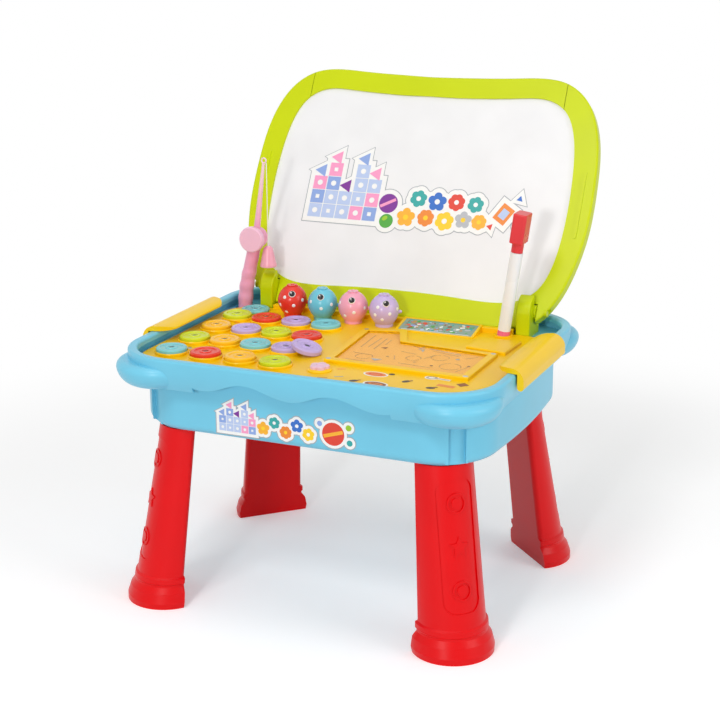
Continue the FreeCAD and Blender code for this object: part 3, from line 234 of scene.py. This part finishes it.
# Window: a printed card under a clear acrylic sheet, held down by the yellow frame and
# four small steel screws.
card = ink("peach_printed_card", "EFB45A", 0.55)
dress(card, "window_card")
card_top_z = 252.72 * mm
card_top = tub_centre @ Matrix.Translation((0, 0, card_top_z))
maze = [bar("tan", 1.3, 12, -9, 9, 37), bar("tan", 1.3, 19, -6, 19, 29),
        bar("tan", 1.3, 27, -11, 25, 29), bar("tan", 1.1, 32, 8, 31, 26),
        bar("tan", 1.2, 50, 20, 68, 10), bar("line", 1.2, 79, 11, 116, 1),
        bar("tan", 1.1, 84, 5, 116, -4), bar("tan", 1.2, 68, -46, 103, -50),
        bar("line", 1.4, 69, 5, 72, 14), bar("line", 1.2, 74, 6, 76, -2),
        bar("tan", 1.1, 124, -9, 134, 1), bar("tan", 1.1, 56, -8, 73, -12),
        bar("tan", 1.1, 55, -24, 60, -37), bar("tan", 1.1, 92, -8, 86, -24),
        bar("tan", 1.0, 130, -54, 136, -34), bar("tan", 1.1, 14, -52, 36, -54),
        bar("tan", 1.1, 60, -56, 92, -59), bar("tan", 1.1, 12, -28, 30, -31),
        ("brown", 3, 3.4, 36, -3.6, 1, 1.2, 30), ("line", 3, 4.6, 43.4, -44, 1, 1.5, 5),
        ("line", 3, 3.2, 74.4, 3.5, 1, 1.0, 30), ("brown", 28, 1.6, 101.5, -43, 1, 1.0, 0),
        ("brown", 28, 1.5, 136, -32, 1, 1.0, 0), ("tan", 3, 2.6, 82, -38, 1, 1.0, 0),
        ("line", 28, 1.7, 118, -14, 1, 1.3, 0), ("tan", 28, 1.6, 50, -30, 1, 1.0, 0)]
dashes = 20
drawn = 0.8                     # the share of a dash's turn that is drawn
for x, y, radius in ((100, -15, 9.0), (119.4, -39, 10.5), (28, -38, 8.5), (76, -26, 7.5)):
    for step in range(dashes):
        at, to = (math.tau * (step + k) / dashes for k in (0, drawn))
        if step % 7 != 5:
            maze.append(bar("tan", 1.1, x + radius * math.cos(at), y + radius * math.sin(at),
                            x + radius * math.cos(to), y + radius * math.sin(to)))
printed("card_print", card_top, "table", maze)


def clear_sheet(name):
    """Thin clear acrylic: almost no colour, and a clean gloss."""
    made, tree, out = empty_material(name)
    place = add(tree, "ShaderNodeTexCoord").outputs["Object"]
    haze = add(tree, "ShaderNodeTexNoise", Vector=place, Scale=1 / (20 * mm), Detail=2.0)
    rough = add(tree, "ShaderNodeMapRange", _0=haze.outputs["Fac"], _3=0.03, _4=0.10)
    glass = add(tree, "ShaderNodeBsdfPrincipled", Base_Color=linear("FFF6E8"), IOR=1.0,
                Roughness=rough.outputs[0], Transmission_Weight=1.0, Alpha=0.16)
    tree.links.new(glass.outputs[0], out.inputs[0])
    return made


dress(clear_sheet("clear_acrylic_sheet"), "window_sheet")


def steel(name, code, roughness=0.3):
    """Zinc-plated steel, turned, with faint rings of tool marks."""
    made, tree, out = empty_material(name)
    place = add(tree, "ShaderNodeTexCoord").outputs["Object"]
    marks = add(tree, "ShaderNodeTexNoise", Vector=place, Scale=1 / (0.8 * mm), Detail=2.0)
    rough = add(tree, "ShaderNodeMapRange", _0=marks.outputs["Fac"], _3=roughness - 0.06,
                _4=roughness + 0.1)
    metal = add(tree, "ShaderNodeBsdfPrincipled", Base_Color=linear(code), Metallic=1.0,
                Roughness=rough.outputs[0])
    tree.links.new(metal.outputs[0], out.inputs[0])
    return made


zinc = steel("zinc_plated_steel", "C3C6CA")
dress(zinc, "window_screws", "back_screws", "post_screws", "latch_pins")

# Picture strip: a card of small coloured scenes on the sloping seat behind the window.
strip_card = ink("sage_printed_card", "8DA79C", 0.5)
dress(strip_card, "picture_strip")
strip_front = Vector((0, 67, 253.08)) * mm
strip_rise = math.atan2(5, 25.5)
slope = tub_centre @ Matrix.Translation(strip_front) @ Matrix.Rotation(strip_rise, 4, "X")
draw = random.Random(11)
strip = []
strip_colours = ("teal", "green", "brown", "red", "cloud", "tan", "periwinkle", "white", "grey")
for step in range(90):
    colour = draw.choice(strip_colours)
    strip.append((colour, draw.choice((3, 4, 28)), draw.uniform(1.0, 2.2), draw.uniform(25, 98),
                  draw.uniform(4, 22), step % 6, draw.uniform(1.0, 1.8), draw.uniform(0, 90)))
strip += [bar("white", 0.8, 24, 1.6, 99, 1.6, 1), bar("teal", 1.2, 24, 24.6, 99, 24.6, 1)]
printed("strip_print", slope, "table", strip)

# Tokens: thick ABS discs with a raised rim. Each has a steel slug in its middle that
# the magnet picks up.
token_plastic = {
    "lime": moulded("lime_token_abs", "CFDC1C", 0.30),
    "red": moulded("red_token_abs", "E63A26", 0.30),
    "purple": moulded("lilac_token_abs", "C3ACDF", 0.30),
    "teal": moulded("aqua_token_abs", "80CDD4", 0.30),
    "yellow": moulded("amber_token_abs", "FFC014", 0.30),
}
slug_steel = steel("dark_steel_slug", "5C5F63", 0.42)


def turned(name, material, place, profile, body, segments=32):
    """A small turned piece from (radius, height) points in millimetres, on place's Z."""
    mesh = bpy.data.meshes.new(name)
    made = bpy.data.objects.new(name, mesh)
    bpy.context.collection.objects.link(made)
    whole = bmesh.new()
    points = [whole.verts.new((r * mm, 0, z * mm)) for r, z in profile]
    runs = [whole.edges.new(pair) for pair in zip(points, points[1:])]
    bmesh.ops.spin(whole, geom=points + runs, cent=(0, 0, 0), axis=(0, 0, 1), angle=math.tau,
                   steps=segments, use_merge=True)
    bmesh.ops.remove_doubles(whole, verts=whole.verts[:], dist=0.001 * mm)
    bmesh.ops.transform(whole, matrix=place, verts=whole.verts[:])
    bmesh.ops.recalc_face_normals(whole, faces=whole.faces[:])
    for face in whole.faces:
        face.smooth = True
    whole.to_mesh(mesh)
    whole.free()
    mesh.materials.append(material)
    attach(made, body)
    return made


slug_profile = ((0, 0), (2.6, 0), (2.6, 0.5), (2.2, 0.7), (0, 0.7))
slug_depth = 1.36 * mm          # from the token's rim down to the slug's foot
for name in [n for n in nodes if n.startswith("token_")]:
    dress(token_plastic[name.split("_")[1]], name)
    low, high = (Vector(corner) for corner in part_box(name))
    leans = name == "token_purple_loose"
    upright = "token_purple_24" if leans else name
    tilt = math.radians(17 if leans else 0)
    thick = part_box(upright)[1][2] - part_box(upright)[0][2]
    middle = (Matrix.Translation((low + high) / 2) @ Matrix.Rotation(tilt, 4, "Y")
              @ Matrix.Translation((0, 0, thick / 2 - slug_depth)))
    turned("slug_" + name, slug_steel, middle, slug_profile, upright + "_body")

# Birds: hollow ABS eggs on a short foot, each with a crest, printed spots and a domed
# eye on either side. The small white dot on each eye is a painted highlight.
bird_plastic = {
    "red": moulded("red_bird_abs", "E8382A", 0.24),
    "blue": moulded("aqua_bird_abs", "6FC8DE", 0.24),
    "pink": moulded("pink_bird_abs", "F7A9C0", 0.24),
    "lilac": moulded("lilac_bird_abs", "CBB5E2", 0.24),
}
# White enamel for the spots and eye rings. The same white also paints the eyes' highlight dots.
white_enamel_and_highlight = ink("white_enamel_and_painted_highlight", "FAFAF8", 0.2)
eye_black = ink("black_eye_enamel", "1C1A1E", 0.12)


def on_skin(node, turn, height):
    """A frame on a bird's skin: turn in degrees from the front, height above the floor
    in millimetres. Its Z points out of the skin."""
    low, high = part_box(node)
    beak_shift = 1.06 * mm          # the beak moves the box's middle off the bird's axis
    axis = Vector(((low[0] + high[0]) / 2 - beak_shift, (low[1] + high[1]) / 2, height * mm))
    out = Vector((math.sin(math.radians(turn)), -math.cos(math.radians(turn)), 0))
    outside = axis + out * 50 * mm
    place, normal = nodes[node].ray_cast(outside, -out)[1:3]
    return Matrix.Translation(place) @ normal.to_track_quat("Z", "Y").to_matrix().to_4x4()


spots = {
    "red": ((-9, 275.5), (30, 267), (-32, 266.5), (-6, 259), (70, 272), (130, 268), (-80, 270),
            (-140, 265)),
    "blue": ((-30, 273.5), (19, 267.3), (62, 271), (-70, 265), (140, 269), (-130, 272)),
    "pink": ((-45, 275), (27, 266.5), (-14, 262), (75, 270), (150, 268), (-105, 267)),
    "lilac": ((-4, 275.5), (45, 268.5), (-15, 267), (14, 262), (85, 272), (150, 267), (-90, 269)),
}
front_eye = {"red": 24, "blue": 16, "pink": 18, "lilac": 32}
eye_height = 279.2
spot_dome = ((0, -2.2), (1.8, -2.2), (1.9, 0.0), (1.4, 0.2), (0.7, 0.3), (0, 0.32))
eye_dome = ((0, -2.6), (3.7, -2.6), (3.8, -0.4), (3.5, 0.4), (2.3, 0.9), (0, 1.1))
pupil_dome = ((0, 0.2), (3.1, 0.2), (3.1, 0.9), (2.3, 1.35), (0, 1.6))
# Painted highlight: a small white dome on each pupil that stands in for the light's reflection.
painted_highlight_dome = ((0, 0), (0.8, 0), (0.8, 0.25), (0, 0.4))
painted_highlight_shift = Matrix.Translation((-1.1 * mm, 1.2 * mm, 1.3 * mm))
for colour, material in bird_plastic.items():
    node = "bird_" + colour
    body = node + "_body"
    dress(material, node)
    for step, (turn, height) in enumerate(spots[colour]):
        turned(node + "_spot_" + str(step), white_enamel_and_highlight, on_skin(node, turn, height), spot_dome, body,
               20)
    for side, turn in (("front", front_eye[colour]), ("back", 190)):
        place = on_skin(node, turn, eye_height)
        turned(node + "_eye_" + side, white_enamel_and_highlight, place, eye_dome, body)
        turned(node + "_pupil_" + side, eye_black, place, pupil_dome, body)
        # The painted highlight dot, set up and to one side on the pupil.
        turned(node + "_painted_highlight_" + side, white_enamel_and_highlight, place @ painted_highlight_shift, painted_highlight_dome, body,
               16)

# Hinge posts and drawing board frame: lime ABS. The back panel is white.
lime = moulded("lime_moulded_abs", "CBD900", 0.34, shine=0.2)
dress(lime, "board_frame", "board_top_rail", "hinge_post_left", "hinge_post_right", "hinge_pins")
back_white = moulded("white_moulded_panel", "EDEDEC", 0.42)
dress(back_white, "board_back")

# Drawing sheet: white lacquered panel with a soft gloss, for dry-wipe pens.
sheet_white = moulded("white_dry_wipe_lacquer", "F0F0F1", 0.30, 4.0, 0.01, 0.1, 0.25)
dress(sheet_white, "drawing_sheet")
lean = math.radians(28.9)
board_foot_y = 64.29 * mm
board_foot_z = 262.308 * mm
sheet_depth = 1.97 * mm         # the sheet's face lies this far behind the frame's
board_plane = Matrix(((1, 0, 0, 0),
                      (0, math.sin(lean), -math.cos(lean), board_foot_y),
                      (0, math.cos(lean), math.sin(lean), board_foot_z),
                      (0, 0, 0, 1)))
sheet_face = board_plane @ Matrix.Translation((0, 0, -sheet_depth))


def die_cut(shapes, edge):
    """The shapes on white film that stands out by edge all round, with a fine grey line
    along the cut."""
    cut_line = 0.9
    corner_reach = 1.5          # a polygon's corners lie further out than its sides
    under = []
    for colour, level in (("line", 0), ("white", 1)):
        wide = edge + (cut_line if colour == "line" else 0)
        for _, sides, size, x, y, layer, stretch, turn in shapes:
            if layer == 0:
                grown = size + (wide if sides > 4 else wide * corner_reach)
                under.append((colour, sides, grown, x, y, level,
                              (size * stretch + grown - size) / grown, turn))
    return under + [(c, n, size, x, y, layer + 2, stretch, turn)
                    for c, n, size, x, y, layer, stretch, turn in shapes]


def flower(colour, middle, x, y, size, petals):
    """A round flower, as petals about a disc."""
    first_turn = 0.3
    petal_r = size * 0.46
    petal_out = size * 0.62
    disc_r = size * 0.5
    middle_r = size * 0.3
    shapes = []
    for step in range(petals):
        turn = math.tau * step / petals + first_turn
        shapes.append((colour, 28, petal_r, x + petal_out * math.cos(turn),
                       y + petal_out * math.sin(turn), 0, 1.0, 0))
    return shapes + [(colour, 28, disc_r, x, y, 1, 1.0, 0), (middle, 28, middle_r, x, y, 2, 1.0, 0)]


def flower_bed(beds):
    """Flowers from (petal colour, x, y, size); their middles are white or yellow."""
    shapes = []
    for step, (colour, x, y, size) in enumerate(beds):
        middle = "white" if step % 2 or colour == "yellow" else "yellow"
        shapes += flower(colour, middle, x, y, size, 5 + step % 3)
    return shapes


def castle(x, y, size, heights):
    """Towers of toy blocks with a roof on each."""
    colours = ("cloud", "pink", "cloud", "periwinkle", "cloud")
    roofs = ("periwinkle", "pink", "purple")
    tower_pitch = size * 1.06
    row_pitch = size * 1.04
    block_r = size * 0.7
    dot_r = size * 0.2
    roof_r = size * 0.56
    roof_drop = size * 0.12
    shapes = []
    for column, height in enumerate(heights):
        at = x + column * tower_pitch
        for row in range(height):
            up = y + row * row_pitch
            colour = colours[(column * 2 + row * 3) % 5]
            shapes += [(colour, 4, block_r, at, up, 0, 1.0, 0),
                       ("white", (28, 4, 28)[(column + row) % 3], dot_r, at, up, 1, 1.0, 0)]
        roof_y = y + height * row_pitch - roof_drop
        shapes.append((roofs[column % 3], 3, roof_r, at, roof_y, 0, 1.0, 30))
    return shapes


# Sticker on the sheet: a castle of pale toy blocks, balls, a bed of flowers and a kite.
board_art = castle(-116, 104, 15.5, (3, 4, 2, 4, 3))
board_art += [("purple", 28, 11.0, -30, 118, 0, 1.0, 0), bar("pink", 3.4, -39, 114, -22, 123, 1),
              ("green", 28, 8.0, -29, 98, 0, 1.0, 0), ("lime", 28, 2.4, -31, 101, 1, 1.4, 40)]
board_art += flower_bed((("amber", -7, 104, 10), ("teal", 4, 126, 9), ("orange", 16, 105, 9),
                         ("blue", 26, 124, 10), ("yellow", 38, 103, 10), ("red", 48, 125, 9),
                         ("grey", 59, 106, 9), ("teal", 70, 124, 8.5), ("amber", 77, 105, 8)))
board_art += [("orange", 4, 11.0, 103, 116, 0, 1.3, 58), ("cloud", 4, 6.0, 103, 116, 1, 1.3, 58),
              ("red", 3, 4.2, 90, 101, 0, 1.0, 20), ("blue", 3, 4.0, 118, 134, 0, 1.0, 50),
              ("amber", 28, 3.4, 122, 104, 0, 1.0, 0)]
printed("board_sticker", sheet_face, "drawing_board", die_cut(board_art, 5.0))

# Sticker on the tub's front: a small castle, flowers, and a striped ball.
tub_front_y = -139.06 * mm
tub_front = tub_centre @ Matrix(((1, 0, 0, 0), (0, 0, -1, tub_front_y), (0, 1, 0, 0), (0, 0, 0, 1)))
tub_art = castle(-78, 197, 7.6, (2, 3, 2, 3, 2))
tub_art += flower_bed((("amber", -34, 201, 6.4), ("teal", -22, 208, 5.6), ("orange", -10, 200, 6.0),
                       ("blue", 2, 208, 6.2), ("yellow", 14, 201, 6.0)))
tub_art += [("red", 28, 11.5, 40, 205, 0, 1.0, 0), bar("amber", 3.4, 30, 202, 50, 208, 1),
            ("teal", 28, 3.0, 57, 198, 0, 1.0, 0), ("periwinkle", 28, 2.6, 26, 214, 0, 1.0, 0),
            ("lime", 28, 3.0, 56, 213, 0, 1.0, 0)]
printed("tub_sticker", tub_front, "table", die_cut(tub_art, 2.8))

# Side latches: yellow ABS, a shade paler than the play board.
latch_yellow = moulded("pale_yellow_moulded_abs", "FFCF14", 0.32, shine=0.25)
dress(latch_yellow, "side_latch_left", "side_latch_right")

# Fishing rod: pink ABS, paler towards its thin tip, with a pale reel that turns on a stub.
pink = moulded("pink_moulded_abs", "F6A8C8", 0.28)
pole_pink = pink.copy()
pole_pink.name = "pink_abs_paler_to_the_tip"
tree = pole_pink.node_tree
shell = next(n for n in tree.nodes if n.bl_idname == "ShaderNodeBsdfPrincipled")
base = shell.inputs["Base Color"].links[0].from_socket
height = add(tree, "ShaderNodeSeparateXYZ", _0=add(tree, "ShaderNodeTexCoord").outputs["Object"])
fade_low_z = 0.335
fade_top_z = 0.40
fade = add(tree, "ShaderNodeMapRange", _0=height.outputs[2], _1=fade_low_z, _2=fade_top_z)
paler = add(tree, "ShaderNodeMix", {"data_type": "RGBA"}, _0=fade.outputs[0], _6=base, _7=linear("F4D3DC"))
tree.links.new(paler.outputs[2], shell.inputs["Base Color"])
dress(pole_pink, "fishing_rod")
reel_pink = moulded("pale_pink_reel_abs", "F6C2DA", 0.28)
dress(reel_pink, "reel")

# Fishing line: a thin white polyester cord, looped to the ring at the tip, with a
# bell-shaped weight on its end that holds a magnet.
dress(moulded("rose_pink_bell_abs", "F5ABC0", 0.28), "line_weight")
dress(slug_steel, "weight_magnet")
cord_white = ink("white_polyester_cord", "F3F1EC", 0.6)
cord_x = -145.1 * mm
cord_y = 57.305 * mm
cord_heights = (412.48, 366.74, 321.0)
cord_radius = 0.5 * mm
route = bpy.data.curves.new("fishing_cord", "CURVE")
route.dimensions = "3D"
route.bevel_depth = cord_radius
route.bevel_resolution = 4
route.use_fill_caps = True
spline = route.splines.new("NURBS")
spline.points.add(2)
for point, z in zip(spline.points, cord_heights):
    point.co = (cord_x, cord_y, z * mm, 1)
spline.order_u = 3
spline.use_endpoint_u = True
fishing_cord = bpy.data.objects.new("fishing_cord", route)
bpy.context.collection.objects.link(fishing_cord)
route.materials.append(cord_white)
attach(fishing_cord, "line_and_weight")
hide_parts("fishing_line")

# Marker: white barrel, pink end plug, red cap with an eraser block.
marker_white = moulded("white_moulded_barrel", "F2F5FB", 0.26)
marker_pink = moulded("rose_moulded_plug", "F2709A", 0.28)
cap_red = moulded("red_moulded_cap", "E1323A", 0.28)
dress(marker_white, "marker_barrel")
dress(marker_pink, "marker_plug")
dress(cap_red, "marker_cap")
dress(inks["black"], "marker_tip")

# Studio: a white floor, a small light from the front, wider ones from high in front, the
# right and above, and an even white surround.
floor_mesh = bpy.data.meshes.new("studio_floor")
floor = bpy.data.objects.new("studio_floor", floor_mesh)
bpy.context.collection.objects.link(floor)
plan = bmesh.new()
half_width = 6.0
bmesh.ops.create_grid(plan, x_segments=1, y_segments=1, size=half_width)
plan.to_mesh(floor_mesh)
plan.free()


def seen_directly(tree):
    """1 for rays from the camera, off gloss and through clear pieces, else 0."""
    path = add(tree, "ShaderNodeLightPath")
    plain = add(tree, "ShaderNodeMath", {"operation": "MAXIMUM"}, _0=path.outputs["Is Camera Ray"],
                _1=path.outputs["Is Glossy Ray"])
    return add(tree, "ShaderNodeMath", {"operation": "MAXIMUM"}, _0=plain.outputs[0],
               _1=path.outputs["Is Transmission Ray"])


paper, tree, out = empty_material("white_studio_paper")
sweep = add(tree, "ShaderNodeBsdfDiffuse", Color=linear("F4F4F4"))
seen = seen_directly(tree)
spread = add(tree, "ShaderNodeVectorMath", {"operation": "LENGTH"},
             _0=add(tree, "ShaderNodeTexCoord").outputs["Object"])
glow_share = 0.27
lift = add(tree, "ShaderNodeMath", {"operation": "MULTIPLY"}, _0=seen.outputs[0], _1=glow_share)
glow = add(tree, "ShaderNodeEmission", Color=linear("FFFFFF"), Strength=lift.outputs[0])
near = add(tree, "ShaderNodeAddShader", _0=sweep.outputs[0], _1=glow.outputs[0])
shadow_reach = 0.45
white_from = 0.9
far = add(tree, "ShaderNodeMapRange", {"interpolation_type": "SMOOTHSTEP"}, _0=spread.outputs["Value"],
          _1=shadow_reach, _2=white_from, _3=0.0, _4=1.0)
share = add(tree, "ShaderNodeMath", {"operation": "MULTIPLY"}, _0=far.outputs[0], _1=seen.outputs[0])
white = add(tree, "ShaderNodeEmission", Color=linear("FFFFFF"), Strength=1.0)
both = add(tree, "ShaderNodeMixShader", _0=share.outputs[0], _1=near.outputs[0], _2=white.outputs[0])
tree.links.new(both.outputs[0], out.inputs[0])
floor_mesh.materials.append(paper)

world = bpy.data.worlds.new("even_surround")
bpy.context.scene.world = world
world.use_nodes = True
tree = world.node_tree
tree.nodes.clear()
fill = add(tree, "ShaderNodeBackground", Color=linear("FFFFFF"), Strength=0.42)
seen = seen_directly(tree)
white = add(tree, "ShaderNodeBackground", Color=linear("FFFFFF"), Strength=1.0)
mix = add(tree, "ShaderNodeMixShader", _0=seen.outputs[0], _1=fill.outputs[0], _2=white.outputs[0])
out = add(tree, "ShaderNodeOutputWorld", Surface=mix.outputs[0])


def soft_box(name, place, target, size, watts):
    """A square studio light that points at target."""
    lamp = bpy.data.lights.new(name, "AREA")
    lamp.shape = "SQUARE"
    lamp.size = size
    lamp.energy = watts
    made = bpy.data.objects.new(name, lamp)
    bpy.context.collection.objects.link(made)
    made.location = place
    aim = Vector(target) - Vector(place)
    made.rotation_euler = aim.to_track_quat("-Z", "Y").to_euler()


soft_box("key_light", (0.1, -2.35, 0.8), (0, 0, 0.25), 0.25, 13)
soft_box("high_light", (-0.2, -1.5, 2.0), (0, 0, 0.25), 0.5, 10.5)
soft_box("side_light", (1.9, -0.3, 1.0), (0, 0, 0.25), 1.0, 11)
soft_box("top_light", (-0.2, -0.2, 2.2), (0, 0, 0.2), 1.4, 7)

bpy.context.scene.view_settings.view_transform = "Standard"

# Camera: about 1.7 m from the table, a little right of centre and above it, with a
# slight roll to the left.
azimuth = math.radians(23.76)
elevation = math.radians(16.70)
roll = math.radians(-0.357)
forward = Vector((-math.sin(azimuth) * math.cos(elevation),
                  math.cos(azimuth) * math.cos(elevation), -math.sin(elevation)))
level = Vector((math.cos(azimuth), math.sin(azimuth), 0))
upright = level.cross(forward)
right = level * math.cos(roll) + upright * math.sin(roll)
up = upright * math.cos(roll) - level * math.sin(roll)
target = Vector((6.855, -40.695, 235.72)) * mm
distance = 1.68377
focal_pixels = 1651.53
picture_pixels = 720
lens = bpy.data.cameras.new("photo_camera")
lens.sensor_width = 36
lens.lens = focal_pixels * lens.sensor_width / picture_pixels
camera = bpy.data.objects.new("photo_camera", lens)
bpy.context.collection.objects.link(camera)
camera.matrix_world = Matrix((right, up, -forward)).transposed().to_4x4()
camera.location = target - forward * distance
bpy.context.scene.camera = camera
